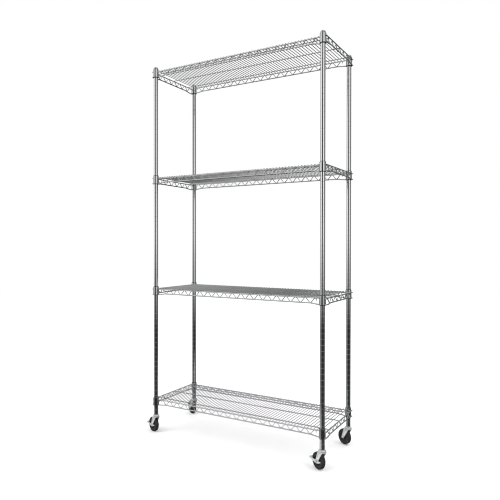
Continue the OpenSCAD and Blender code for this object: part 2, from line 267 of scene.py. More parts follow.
def lathe(profile, n=48, closed=True, mats=None, span=360.0, start=0.0):
    """Revolves (r, z) points about Z. A closed profile makes a ring; an open one runs from axis to axis."""
    full = span >= 359.9
    cols = n if full else n + 1
    verts, ring = [], []
    for r, z in profile:
        if r < 1e-6:
            ring.append([len(verts)] * cols)
            verts.append((0.0, 0.0, z))
        else:
            ring.append([len(verts) + i for i in range(cols)])
            for i in range(cols):
                a = math.radians(start + span * i / n)
                verts.append((r * math.cos(a), r * math.sin(a), z))
    faces, idx = [], []
    last = len(profile) if closed else len(profile) - 1
    for k in range(last):
        a, b = ring[k], ring[(k + 1) % len(profile)]
        for i in range(n):
            j = (i + 1) % cols
            quad = []
            for q in (a[i], a[j], b[j], b[i]):
                if q not in quad:
                    quad.append(q)
            if len(quad) > 2:
                faces.append(tuple(quad))
                idx.append(mats[k] if mats else 0)
    if not full:
        faces.append(tuple(r[0] for r in ring))
        faces.append(tuple(r[-1] for r in ring))
        idx += [0, 0]
    return verts, faces, idx


def sweep(path, radii, sides=12, up=(0, 0, 1), squash=None):
    """A round closed tube along path, one radius to a point."""
    path = [Vector(p) for p in path]
    n = len(path)
    if not isinstance(radii, (list, tuple)):
        radii = [radii] * n
    verts, faces = [], []
    up = Vector(up)
    for i, p in enumerate(path):
        t = (path[min(i + 1, n - 1)] - path[max(i - 1, 0)]).normalized()
        if 0 < i < n - 1:
            t = ((path[i + 1] - p).normalized() + (p - path[i - 1]).normalized()).normalized()
        side = t.cross(up)
        if side.length < 1e-4:
            side = t.cross(Vector((1, 0, 0)))
        side.normalize()
        top = side.cross(t).normalized()
        drop = squash[i] if squash else 0.0
        for k in range(sides):
            a = 2 * math.pi * (k + 0.5) / sides
            verts.append(tuple(p + side * (radii[i] * math.cos(a)) + top * (radii[i] * math.sin(a) + drop)))
    for i in range(n - 1):
        for k in range(sides):
            j = (k + 1) % sides
            faces.append((i * sides + k, i * sides + j, (i + 1) * sides + j, (i + 1) * sides + k))
    faces.append(tuple(range(sides)))
    faces.append(tuple((n - 1) * sides + k for k in range(sides)))
    return verts, faces


def rounded(points, radius, steps=4):
    """The polyline with an arc of that radius at each inner corner."""
    pts = [Vector(p) for p in points]
    out = [pts[0]]
    for i in range(1, len(pts) - 1):
        a, b, c = pts[i - 1], pts[i], pts[i + 1]
        u, v = (a - b).normalized(), (c - b).normalized()
        half = u.angle(v) / 2
        t = min(radius / math.tan(half), (a - b).length * 0.49, (c - b).length * 0.49)
        r = t * math.tan(half)
        centre = b + (u + v).normalized() * (r / math.sin(half))
        s, e = b + u * t - centre, b + v * t - centre
        turn = s.angle(e)
        for k in range(steps + 1):
            w = k / steps
            out.append(centre + (s * math.sin((1 - w) * turn) + e * math.sin(w * turn)) / math.sin(turn))
    out.append(pts[-1])
    return out


def cut_ends(path, r, bevel=0.45):
    """Adds a small bevel to both ends of a wire, inside its length."""
    p = [Vector(q) for q in path]
    a, b = (p[1] - p[0]).normalized(), (p[-2] - p[-1]).normalized()
    path = [p[0], p[0] + a * bevel] + p[1:-1] + [p[-1] + b * bevel, p[-1]]
    return path, [r - bevel] + [r] * (len(path) - 2) + [r - bevel]


def hexagon(r, h, n=36, chamfer=0.577, both=False, hole=None):
    """A hexagonal head or nut from z 0 to h with turned chamfers; hole is its bore's radius."""
    flat = r * math.cos(math.pi / 6)
    inner = flat * 0.97
    rows = []
    for i in range(n):
        a = 2 * math.pi * i / n
        hr = flat / math.cos(a % (math.pi / 3) - math.pi / 6)
        drop = (hr - inner) * chamfer + 0.02
        row = [(hole, 0.25 if both else 0.0), (hole + 0.35, 0.0)] if hole else [(0.0, 0.0)]
        row += [(inner, 0.0), (hr, drop if both else 0.0), (hr, h - drop), (inner, h)]
        row += [(hole + 0.35, h), (hole, h - 0.25)] if hole else [(0.0, h)]
        rows.append([(x * math.cos(a), x * math.sin(a), z) for x, z in row])
    m = len(rows[0])
    verts = [p for row in rows for p in row]
    faces = []
    for i in range(n):
        j = (i + 1) % n
        for k in range(m if hole else m - 1):
            l = (k + 1) % m
            faces.append((i * m + k, j * m + k, j * m + l, i * m + l))
    return verts, faces


def merge(ob, dist=1e-6):
    bm = bmesh.new()
    bm.from_mesh(ob.data)
    bmesh.ops.remove_doubles(bm, verts=bm.verts, dist=dist)
    bmesh.ops.dissolve_degenerate(bm, edges=bm.edges, dist=dist)
    bmesh.ops.recalc_face_normals(bm, faces=bm.faces)
    bm.to_mesh(ob.data)
    bm.free()


def boolean(ob, cutters, operation, angle=35.0):
    """Applies one exact boolean for each cutter, then removes the cutters."""
    for c in cutters:
        m = ob.modifiers.new("cut", "BOOLEAN")
        m.object, m.operation, m.solver = c, operation, "EXACT"
    dg = bpy.context.evaluated_depsgraph_get()
    dg.update()
    new = bpy.data.meshes.new_from_object(ob.evaluated_get(dg))
    ob.modifiers.clear()
    old = ob.data
    ob.data = new
    bpy.data.meshes.remove(old)
    for c in cutters:
        data = c.data
        bpy.data.objects.remove(c)
        bpy.data.meshes.remove(data)
    smooth(ob, angle)
    return ob


def place(ob, node, body):
    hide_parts(node)
    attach(ob, body)
    return ob


# ---- sizes read from the frame --------------------------------------------

joints = {j["name"]: j for j in frame["joints"]}
post_box = {c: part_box(f"post_{c}") for c in CORNERS}
PX = (post_box["front_right"][0].x + post_box["front_right"][1].x) / 2 / MM
PY = (post_box["back_right"][0].y + post_box["back_right"][1].y) / 2 / MM
POST_R = (post_box["front_right"][1].x - post_box["front_right"][0].x) / 2 / MM
FOOT = post_box["front_right"][0].z / MM
HEAD = post_box["front_right"][1].z / MM
CAP_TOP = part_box("post_caps")[1].z / MM
PITCH = 25.4
BORE = POST_R - 1.4
LEVEL = {s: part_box(f"shelf_{s}_collars")[0].z / MM + 29.4 for s in SHELVES}
SLEEVE_LO, SLEEVE_HI, COLLAR_LO, COLLAR_HI = -31.8, 15.0, -29.4, 12.4


def sleeve_r(z):
    return POST_R + 2.5 - (z - SLEEVE_LO) / (SLEEVE_HI - SLEEVE_LO)


def collar_in(z):
    return sleeve_r(z) + 0.05


def collar_out(z):
    return collar_in(z) + 1.8


# ---- posts ----------------------------------------------------------------

def post(corner):
    sx, sy = CORNERS[corner]
    length = HEAD - FOOT
    count = int(round((length + 8) / PITCH)) - 1
    prof, mats = [(BORE, 0.0), (POST_R - 0.35, 0.0), (POST_R, 0.35)], [0, 0, 0]
    for k in range(1, count + 1):
        z = k * PITCH
        for dz, r in ((-1.5, 0.0), (-1.42, 0.05), (-1.22, 0.27), (-1.12, 0.31), (-1.04, 0.31), (1.04, 0.31), (1.12, 0.31), (1.22, 0.27), (1.42, 0.05), (1.5, 0.0)):
            prof.append((POST_R - r, z + dz))
            mats.append(0)
        mats[-10:] = [0, 1, 1, 1, 1, 1, 1, 1, 0, 0]
    prof += [(POST_R, length - 0.35), (POST_R - 0.35, length), (BORE, length)]
    mats += [0, 0, 0]
    m = Mesh()
    v, f, idx = lathe(prof, 40, True, mats)
    m.add(v, f, idx, Matrix.Translation((sx * PX, sy * PY, FOOT)))
    ob = m.build(f"post_{corner}_tube", [POST, GROOVE], 28)
    return place(ob, f"post_{corner}", "rack")


def caps():
    m = Mesh()
    base, top = HEAD, CAP_TOP
    h = top - base
    prof = [(0.0, -14.0), (BORE - 0.75, -14.0), (BORE - 0.25, -13.5), (BORE - 0.05, -12.0)]
    for k in range(4):                       # grip ribs on the plug
        z = -11.0 + 2.6 * k
        prof += [(BORE - 0.35, z), (BORE - 0.05, z + 0.5), (BORE - 0.05, z + 1.1), (BORE - 0.35, z + 1.6)]
    prof += [(BORE - 0.35, 0.04), (POST_R - 0.25, 0.04), (POST_R, 0.3), (POST_R, 1.0)]
    for k in range(1, 13):
        a = math.radians(90 * k / 12)
        prof.append((POST_R * math.cos(a) ** 0.86 if k < 12 else 0.0, 1.0 + (h - 1.0) * math.sin(a)))
    for sx, sy in CORNERS.values():
        v, f, _ = lathe(prof, 48, False)
        m.add(v, f, 0, Matrix.Translation((sx * PX, sy * PY, base)))
    place(m.build("post_cap_domes", [CAP], 40), "post_caps", "rack")


def inserts():
    m = Mesh()
    prof = [(5.05, -1.5), (POST_R - 0.5, -1.5), (POST_R, -1.1), (POST_R, -0.02), (BORE - 0.05, -0.02), (BORE - 0.05, 3.0)]
    for k in range(5):
        z = 4.0 + 4.0 * k
        prof += [(BORE - 0.35, z), (BORE - 0.05, z + 0.7), (BORE - 0.05, z + 2.4), (BORE - 0.35, z + 3.1)]
    prof += [(BORE - 0.6, 24.5), (5.6, 24.5), (5.05, 23.9)]
    for sx, sy in CORNERS.values():
        v, f, _ = lathe(prof, 48, True)
        m.add(v, f, 0, Matrix.Translation((sx * PX, sy * PY, FOOT)))
    place(m.build("post_foot_inserts", [STEEL], 35), "post_inserts", "rack")


# ---- shelves --------------------------------------------------------------

RAIL_R, DECK_R, SUPPORT_R, TRUSS_R = 2.8, 1.7, 2.3, 1.9
RAIL_Y = PY - 3
RAIL_X = PX + collar_out(0) + RAIL_R - 0.5
RAIL_END = PX - collar_out(0) + 0.9
RAIL_LO, DIP = -23.0, 4.6
DECK_Z = RAIL_R + DECK_R - 0.3
SUPPORT_Z = DECK_Z - DECK_R - SUPPORT_R + 0.3
SUPPORT_Y = 0.78 * PY
COUNT = 59
DECK_HALF = PX - 8
TRUSS_Y = RAIL_Y - RAIL_R - TRUSS_R + 0.3
TRUSS_X = RAIL_X - RAIL_R - TRUSS_R + 0.3
TRUSS_PITCH = 48.1


def deck(shelf):
    """Deck wires, a little swollen and pressed down where each is welded to a wire below it."""
    m = Mesh()
    z = LEVEL[shelf] + DECK_Z
    crossings = (-RAIL_Y, -SUPPORT_Y, 0.0, SUPPORT_Y, RAIL_Y)
    for i in range(COUNT):
        x = (i - (COUNT - 1) / 2) * 2 * DECK_HALF / (COUNT - 1)
        off = PX - abs(x)
        full = off >= collar_out(0) + 2 * DECK_R
        end = RAIL_Y + 2 if full else PY - math.sqrt(collar_out(DECK_Z) ** 2 - off * off) + 0.6
        stations = [(-end, DECK_R - 0.5, 0, 0), (-end + 0.5, DECK_R, 0, 0)]
        for c in crossings:
            for dy, dr, dz, k in ((-4.2, 0, 0, 0), (-2.4, 0.05, -0.03, 1), (-1.1, 0.20, -0.10, 1), (1.1, 0.20, -0.10, 1), (2.4, 0.05, -0.03, 0), (4.2, 0, 0, 0)):
                if -end + 0.6 < c + dy < end - 0.6:
                    stations.append((c + dy, DECK_R + dr, dz, k))
        stations += [(end - 0.5, DECK_R, 0, 0), (end, DECK_R - 0.5, 0, 0)]
        v, f = sweep([(x, y, z) for y, _, _, _ in stations], [r for _, r, _, _ in stations], 10, squash=[d for _, _, d, _ in stations])
        mats = []
        for s in range(len(stations) - 1):
            a, b = stations[s], stations[s + 1]
            weld = a[3] and b[0] - a[0] < 3
            for k in range(10):
                mats.append(1 if weld and k in (5, 6, 7, 8, 9) else 0)
        m.add(v, f, mats + [0, 0])
    ob = m.build(f"shelf_{shelf}_deck", [WIRE, WELD], 50)
    place(ob, f"shelf_{shelf}_deck_wires", "rack")


def support(shelf):
    m = Mesh()
    z = LEVEL[shelf] + SUPPORT_Z
    for y, half in ((-SUPPORT_Y, RAIL_X - RAIL_R + 0.6), (SUPPORT_Y, RAIL_X - RAIL_R + 0.6), (0.0, TRUSS_X - TRUSS_R + 0.4)):
        xs = [-half + half * 2 * k / 24 for k in range(25)]
        path, radii = cut_ends([(x, y, z) for x in xs], SUPPORT_R)
        v, f = sweep(path, radii, 14)
        m.add(v, f)
    place(m.build(f"shelf_{shelf}_support", [WIRE], 50), f"shelf_{shelf}_support_wires", "rack")


def flare(path, r, size=0.55, length=3.2):
    """A rod's path and radii with a weld fillet at each end, where it meets a collar."""
    p = [Vector(q) for q in path]
    a, b = (p[1] - p[0]).normalized(), (p[-2] - p[-1]).normalized()
    steps = [(0.0, size), (0.8, size * 0.92), (1.7, size * 0.45), (length, 0.0)]
    out = [p[0] + a * d for d, _ in steps] + p[1:-1] + [p[-1] + b * d for d, _ in reversed(steps)]
    radii = [r + e for _, e in steps] + [r] * (len(p) - 2) + [r + e for _, e in reversed(steps)]
    return out, radii


def ring_mats(n, sides, ends):
    return [1 if s < ends or s >= n - 1 - ends else 0 for s in range(n - 1) for _ in range(sides)] + [1, 1]


def rails(shelf):
    m = Mesh()
    z = LEVEL[shelf]
    low = z + RAIL_LO
    for s in (-1, 1):
        y = s * RAIL_Y
        path = [(-RAIL_END + 2 * RAIL_END * k / 24, y, z) for k in range(25)]
        path, radii = flare(path, RAIL_R)
        v, f = sweep(path, radii, 16)
        m.add(v, f, ring_mats(len(path), 16, 2))
        path = rounded([(-RAIL_END, y, low - DIP), (-RAIL_END + 8, y, low - DIP), (-RAIL_END + 44, y, low),
                        (RAIL_END - 44, y, low), (RAIL_END - 8, y, low - DIP), (RAIL_END, y, low - DIP)], 40, 5)
        path, radii = flare(path, RAIL_R, length=2.6)
        v, f = sweep(path, radii, 16)
        m.add(v, f, ring_mats(len(path), 16, 2))
        x = s * RAIL_X
        path, radii = cut_ends([(x, -PY - 7 + (2 * PY + 14) * k / 12, z) for k in range(13)], RAIL_R, 0.6)
        v, f = sweep(path, radii, 16)
        m.add(v, f)
        path = rounded([(x, -PY - 7, low - DIP), (x, -PY + 20, low - DIP), (x, -PY + 56, low),
                        (x, PY - 56, low), (x, PY - 20, low - DIP), (x, PY + 7, low - DIP)], 40, 5)
        path, radii = cut_ends(path, RAIL_R, 0.6)
        v, f = sweep(path, radii, 16)
        m.add(v, f)
        for sy in (-1, 1):                   # weld beads between side rods and collars
            for zz in (z, low - DIP):
                rc = collar_out(zz - z)
                bead = [(s * (PX + rc - 0.25), sy * PY + dy, zz + up) for dy, up in ((-5.5, 0), (-3.5, 0), (0, 0), (3.5, 0), (5.5, 0))]
                v, f = sweep(bead, [0.25, 1.15, 1.5, 1.15, 0.25], 10)
                m.add(v, f, 1)
    ob = m.build(f"shelf_{shelf}_rods", [WIRE, WELD], 50)
    place(ob, f"shelf_{shelf}_rails", "rack")


def truss(shelf):
    m = Mesh()
    z = LEVEL[shelf]

    def zig(bays, tail, drop):
        pts = [((i - bays) * TRUSS_PITCH / 2, 2.4 if i % 2 == 0 else RAIL_LO - 2.4) for i in range(2 * bays + 1)]
        end = bays * TRUSS_PITCH / 2
        return [(-end - tail, drop)] + pts + [(end + tail, drop)]

    for pts, spot in ((zig(18, 7, -12), "long"), (zig(6, 4, -10), "side")):
        for s in (-1, 1):
            if spot == "long":
                path = [(a, s * TRUSS_Y, z + b) for a, b in pts]
            else:
                path = [(s * TRUSS_X, a, z + b) for a, b in pts]
            up = (0, 1, 0) if spot == "long" else (1, 0, 0)
            path, radii = cut_ends(rounded(path, 5.5, 6), TRUSS_R, 0.4)
            v, f = sweep(path, radii, 12, up=up)
            m.add(v, f)
    place(m.build(f"shelf_{shelf}_truss", [WIRE], 50), f"shelf_{shelf}_truss_wires", "rack")


def collars(shelf):
    m = Mesh()
    r = collar_in
    o = collar_out
    lo, hi = COLLAR_LO, COLLAR_HI
    prof = [(r(lo) + 0.35, lo), (o(lo) - 0.45, lo), (o(lo) - 0.14, lo + 0.12), (o(lo + 0.5), lo + 0.5), (o(lo + 1.1), lo + 1.1), (o(-22), -22), (o(-14), -14), (o(-6), -6),
            (o(2), 2), (o(hi - 1.1), hi - 1.1), (o(hi - 0.5), hi - 0.5), (o(hi) - 0.14, hi - 0.12), (o(hi) - 0.45, hi), (r(hi) + 0.35, hi), (r(hi), hi - 0.35), (r(lo), lo + 0.35)]
    for sx, sy in CORNERS.values():
        v, f, _ = lathe(prof, 56, True)
        m.add(v, f, 0, Matrix.Translation((sx * PX, sy * PY, LEVEL[shelf])))
    place(m.build(f"shelf_{shelf}_corner_collars", [COLLAR], 60), f"shelf_{shelf}_collars", "rack")


def sleeves(shelf):
    m = Mesh()
    lo, hi = SLEEVE_LO, SLEEVE_HI
    a = POST_R + 0.05
    prof = [(a + 0.25, lo), (sleeve_r(lo) - 0.3, lo), (sleeve_r(lo), lo + 0.35), (sleeve_r(lo + 1.6), lo + 1.6),
            (sleeve_r(-24), -24), (sleeve_r(-12), -12), (sleeve_r(0), 0), (sleeve_r(hi - 1.6), hi - 1.6), (sleeve_r(hi), hi - 0.35), (sleeve_r(hi) - 0.3, hi),
            (a + 0.25, hi), (a, hi - 0.3), (a, 1.3), (POST_R - 0.12, 1.05), (POST_R - 0.3, 0.6), (POST_R - 0.3, -0.6), (POST_R - 0.12, -1.05), (a, -1.3), (a, lo + 0.3)]
    for sx, sy in CORNERS.values():
        for h in (0, 1):
            v, f, idx = lathe(prof, 28, True, None, 176.0, 180 * h + 32)
            m.add(v, f, idx, Matrix.Translation((sx * PX, sy * PY, LEVEL[shelf])))
    place(m.build(f"shelf_{shelf}_split_sleeves", [BLACK], 40), f"shelf_{shelf}_sleeves", "rack")


# ---- casters --------------------------------------------------------------

AXLE_Z, TRAIL, WHEEL_R, WHEEL_W = 37.5, 24.0, 37.5, 19.0
CROWN_LO, CROWN_HI, LEG_IN, LEG_T = 82.0, 84.5, 11.0, 2.2


def caster_frame(corner):
    """Local frame of a caster in mm: origin under its post on the floor, X along the trail, Y along the axle."""
    ax = Vector(joints[f"roll_{corner}"]["axis"]).normalized()
    p = joints[f"swivel_{corner}"]["pos_m"]
    return Matrix(((ax.y, ax.x, 0, p[0] / MM), (-ax.x, ax.y, 0, p[1] / MM), (0, 0, 1, 0), (0, 0, 0, 1)))


def metres(to):
    out = to.copy()
    for i in range(3):
        out[i][3] *= MM
    return out


def stems():
    m = Mesh()
    lo, hi = CROWN_LO, CROWN_HI
    prof = [(0.0, lo - 2.8), (5.2, lo - 2.8), (6.3, lo - 2.45), (7.0, lo - 1.6), (7.0, lo - 0.3), (4.0, lo - 0.3),
            (4.0, hi + 1.2), (8.4, hi + 1.2), (8.4, hi + 5.1), (15.2, hi + 5.1), (15.2, hi + 0.85), (15.5, hi + 0.8), (16.7, hi + 0.8), (17.0, hi + 1.1),
            (17.0, hi + 4.6), (16.7, hi + 5.7), (15.9, hi + 6.7), (14.2, hi + 7.6), (12.0, hi + 8.3), (9.4, hi + 8.9), (9.0, hi + 9.2),
            (9.0, FOOT - 1.9), (8.7, FOOT - 1.55), (5.0, FOOT - 1.55)]
    z = FOOT - 1.0
    while z < FOOT + 20:                     # thread of the stem, as turned rings
        prof += [(5.0, z), (4.62, z + 0.45), (5.0, z + 0.9)]
        z += 1.1
    prof += [(5.0, FOOT + 21.2), (4.4, FOOT + 22), (0.0, FOOT + 22)]
    for sx, sy in CORNERS.values():
        v, f, _ = lathe(prof, 56, False)
        m.add(v, f, 0, Matrix.Translation((sx * PX, sy * PY, 0)))
    place(m.build("caster_stems_and_cups", [ZINC], 38), "caster_stems", "rack")


def tangent(p, c, r, side):
    v = Vector(p) - Vector(c)
    a = math.atan2(v.y, v.x) + side * math.acos(r / v.length)
    return Vector(c) + r * Vector((math.cos(a), math.sin(a)))


def fork(corner):
    """Pressed fork: one sheet folded over the crown, its legs tapering to the axle, with a raised rib on each."""
    axle, r = Vector((TRAIL, AXLE_Z)), 8.0
    mid_y, mid_z, bend = LEG_IN + LEG_T / 2, CROWN_HI - LEG_T / 2, 3.0
    rear, front = Vector((-15.5, CROWN_HI)), Vector((16.5, CROWN_HI))
    t_rear, t_front = tangent(rear, axle, r, 1), tangent(front, axle, r, -1)
    leg = []                                 # from the axle's end of the leg up to the bend
    bottom = -math.pi / 2

    def arc(t, sign):
        a = math.atan2(t.y - axle.y, t.x - axle.x)
        if sign > 0 and a > 0:
            a -= 2 * math.pi
        return [axle + r * Vector((math.cos(b), math.sin(b))) for b in (bottom - sign * 0.22 + (a - bottom + sign * 0.22) * k / 7 for k in range(8))]

    left, right = arc(t_rear, 1), arc(t_front, -1)
    z_top = mid_z - bend
    for k in range(8):
        leg.append((left[k], right[k]))
    for k in range(1, 15):
        w = k / 14
        l = t_rear + (rear - t_rear) * w
        q = t_front + (front - t_front) * w
        if l.y > z_top:
            l = t_rear + (rear - t_rear) * ((z_top - t_rear.y) / (rear.y - t_rear.y))
        if q.y > z_top:
            q = t_front + (front - t_front) * ((z_top - t_front.y) / (front.y - t_front.y))
        leg.append((l, q))
    cols = [0.0, 0.03, 0.10, 0.20, 0.27, 0.33, 0.40, 0.50, 0.60, 0.67, 0.73, 0.80, 0.90, 0.97, 1.0]

    def rib(s, z):
        a = max(0.0, 1.0 - abs(s - 0.5) / 0.23)
        b = max(0.0, min(1.0, (z - 49.0) / 6.0, (79.0 - z) / 6.0))
        a, b = min(1.0, a * 1.7), b
        return 0.95 * (a * a * (3 - 2 * a)) * (b * b * (3 - 2 * b))

    rows = []
    for side in (-1, 1):
        part = []
        for l, q in leg:
            part.append([(l.x + (q.x - l.x) * s, side * (mid_y + rib(s, l.y + (q.y - l.y) * s)), l.y + (q.y - l.y) * s) for s in cols])
        for k in range(1, 7):
            a = math.radians(90 * k / 6)
            y, z = mid_y - bend + bend * math.cos(a), mid_z - bend + bend * math.sin(a)
            x0 = -15.3 - (math.sqrt(20.2 ** 2 - y * y) - 15.9) * k / 6 * 0.9
            x1 = 16.2 + (math.sqrt(20.2 ** 2 - y * y) - 16.2) * k / 6
            part.append([(x0 + (x1 - x0) * s, side * y, z) for s in cols])
        rows.append(part)
    a_side, b_side = rows[0], rows[1]
    middle = []
    y_edge = mid_y - bend
    for k in range(1, 10):
        y = -y_edge + 2 * y_edge * k / 10
        h = math.sqrt(20.2 ** 2 - y * y)
        middle.append([(-h * 0.985 + (h * 1.985) * s, y, mid_z) for s in cols])
    sheet = a_side + middle + b_side[::-1]
    nr, nc = len(sheet), len(cols)
    P = [[Vector(p) for p in row] for row in sheet]
    N = []
    for i in range(nr):
        line = []
        for j in range(nc):
            du = P[min(i + 1, nr - 1)][j] - P[max(i - 1, 0)][j]
            dv = P[i][min(j + 1, nc - 1)] - P[i][max(j - 1, 0)]
            n = du.cross(dv).normalized()
            line.append(n)
        N.append(line)
    if N[nr // 2][nc // 2].z < 0:
        N = [[-n for n in line] for line in N]
    verts, faces = [], []
    for sgn in (1, -1):
        for i in range(nr):
            for j in range(nc):
                edge = j in (0, nc - 1) or i in (0, nr - 1)
                verts.append(P[i][j] + N[i][j] * (sgn * (LEG_T / 2 - (0.45 if edge else 0.0))))
    size = nr * nc
    for i in range(nr - 1):
        for j in range(nc - 1):
            q = (i * nc + j, i * nc + j + 1, (i + 1) * nc + j + 1, (i + 1) * nc + j)
            faces.append(q)
            faces.append(tuple(size + k for k in q[::-1]))
    loop = [(0, j) for j in range(nc)] + [(i, nc - 1) for i in range(1, nr)] + [(nr - 1, j) for j in range(nc - 2, -1, -1)] + [(i, 0) for i in range(nr - 2, 0, -1)]
    for k in range(len(loop)):
        a, b = loop[k], loop[(k + 1) % len(loop)]
        ia, ib = a[0] * nc + a[1], b[0] * nc + b[1]
        faces.append((ia, ib, size + ib, size + ia))
    m = Mesh()
    m.add(verts, faces)
    ob = m.build(f"caster_{corner}_fork_pressing", [ZINC], 30)
    cut = []
    for radius, to in ((3.05, Matrix.Translation((TRAIL, 0, AXLE_Z)) @ Matrix.Rotation(math.pi / 2, 4, "X")), (4.06, Matrix.Translation((0, 0, CROWN_LO)))):
        c = Mesh()
        v, f, _ = lathe([(0.0, -30.0), (radius, -30.0), (radius, 30.0), (0.0, 30.0)], 40, False)
        if radius > 4:
            v = [(x, y, z / 5) for x, y, z in v]
        c.add(v, f, 0, to)
        cut.append(c.build("cutter", [ZINC]))
    boolean(ob, cut, "DIFFERENCE", 30)
    ob.data.transform(metres(caster_frame(corner)))
    place(ob, f"caster_{corner}_fork", f"swivel_{corner}")


def along_axle(corner):
    """Local Z runs along the axle, with its origin at the wheel's centre."""
    return caster_frame(corner) @ Matrix.Translation((TRAIL, 0, AXLE_Z)) @ Matrix.Rotation(-math.pi / 2, 4, "X")


def bolt_and_nut(corner, braked):
    clamp = LEG_IN + LEG_T + (2.1 if braked else 0.0) + 0.02
    to = along_axle(corner)
    m = Mesh()
    v, f = hexagon(5.4, 3.6)
    m.add([(x, y, -clamp - z) for x, y, z in v], f)
    prof = [(0.0, -clamp + 0.0), (3.0, -clamp + 0.0), (3.0, clamp - 2.0)]
    z = clamp - 1.0
    while z < clamp + 5.2:
        prof += [(3.0, z), (2.78, z + 0.28), (3.0, z + 0.56)]
        z += 0.7
    prof += [(3.0, clamp + 5.5), (2.5, clamp + 6.0), (0.0, clamp + 6.0)]
    v, f, _ = lathe(prof, 32, False)
    m.add(v, f)
    ob = m.build(f"caster_{corner}_bolt", [ZINC], 25)
    merge(ob)
    ob.data.transform(metres(to))
    smooth(ob, 25)
    place(ob, f"caster_{corner}_axle_bolt", f"swivel_{corner}")
    m = Mesh()
    v, f = hexagon(5.4, 4.6, both=True, hole=3.05)
    m.add(v, f)
    ob = m.build(f"caster_{corner}_nut", [ZINC], 25)
    ob.data.transform(metres(to @ Matrix.Translation((0, 0, clamp))))
    place(ob, f"caster_{corner}_axle_nut", f"swivel_{corner}")


def bushing(corner):
    m = Mesh()
    h = LEG_IN - 0.05
    v, f, _ = lathe([(3.05, -h + 0.3), (3.35, -h), (4.2, -h), (4.5, -h + 0.3), (4.5, h - 0.3), (4.2, h), (3.35, h), (3.05, h - 0.3)], 40, True)
    m.add(v, f)
    ob = m.build(f"caster_{corner}_axle_bushing", [STEEL], 35)
    ob.data.transform(metres(along_axle(corner)))
    place(ob, f"caster_{corner}_bushing", f"swivel_{corner}")


def wheel(corner):
    ribs, n = 8, 112
    radii = [4.57, 4.9, 7.5, 8.7, 9.1, 9.6, 10.4, 11.6, 13.5, 16, 18.5, 20.4, 21.6, 22.4, 23.2, 23.8, 24.2, 26.4, 26.97]

    def half(r, a):
        if r < 8.8:
            return 10.05 if r > 4.6 else 9.7
        if r < 9.2:
            return 9.6
        if r >= 26.9:
            return 8.1
        if r >= 23.8:
            return 8.45
        if r >= 23.1:
            return 8.0
        web = 3.4 if r > 9.9 else 5.0
        if r > 22.0:
            web = 4.2
        d = abs(((a / (2 * math.pi) * ribs + 0.5) % 1.0) - 0.5) * 2 * math.pi / ribs * r
        k = max(0.0, min(1.0, (1.55 - d) / 0.75))
        return web + (6.9 - 0.02 * (r - 9) - web) * k * k * (3 - 2 * k)

    verts, faces = [], []
    for i in range(n):
        a = 2 * math.pi * i / n
        ring = [(r, half(r, a)) for r in radii] + [(r, -half(r, a)) for r in reversed(radii)]
        verts += [(r * math.cos(a), r * math.sin(a), z) for r, z in ring]
    k = 2 * len(radii)
    for i in range(n):
        j = (i + 1) % n
        for q in range(k):
            p = (q + 1) % k
            faces.append((i * k + q, j * k + q, j * k + p, i * k + p))
    m = Mesh()
    m.add(verts, faces)
    ob = m.build(f"caster_{corner}_wheel_centre", [HUB], 32)
    to = metres(along_axle(corner))
    ob.data.transform(to)
    place(ob, f"caster_{corner}_hub", f"wheel_{corner}")

    w, R = WHEEL_W / 2, WHEEL_R
    outer = [(27.05, w - 1.3), (27.3, w - 0.5), (28.2, w - 0.12), (29.0, w), (30.2, w), (30.6, w - 0.35), (31.0, w)]
    for s in range(0, 9):
        a = math.radians(90 - 90 * s / 8)
        outer.append((R - 3.6 + 3.5 * math.cos(a), w - 3.5 + 3.5 * math.sin(a)))
    outer += [(R, w - 5.2), (R, 1.1), (R - 0.35, 0.75), (R - 0.35, 0.3), (R, 0.0)]
    prof = outer + [(r, -z) for r, z in reversed(outer[:-1])]
    v, f, _ = lathe(prof, 96, True)
    m = Mesh()
    m.add(v, f)
    ob = m.build(f"caster_{corner}_tread", [RUBBER], 32)
    ob.data.transform(to)
    place(ob, f"caster_{corner}_tyre", f"wheel_{corner}")


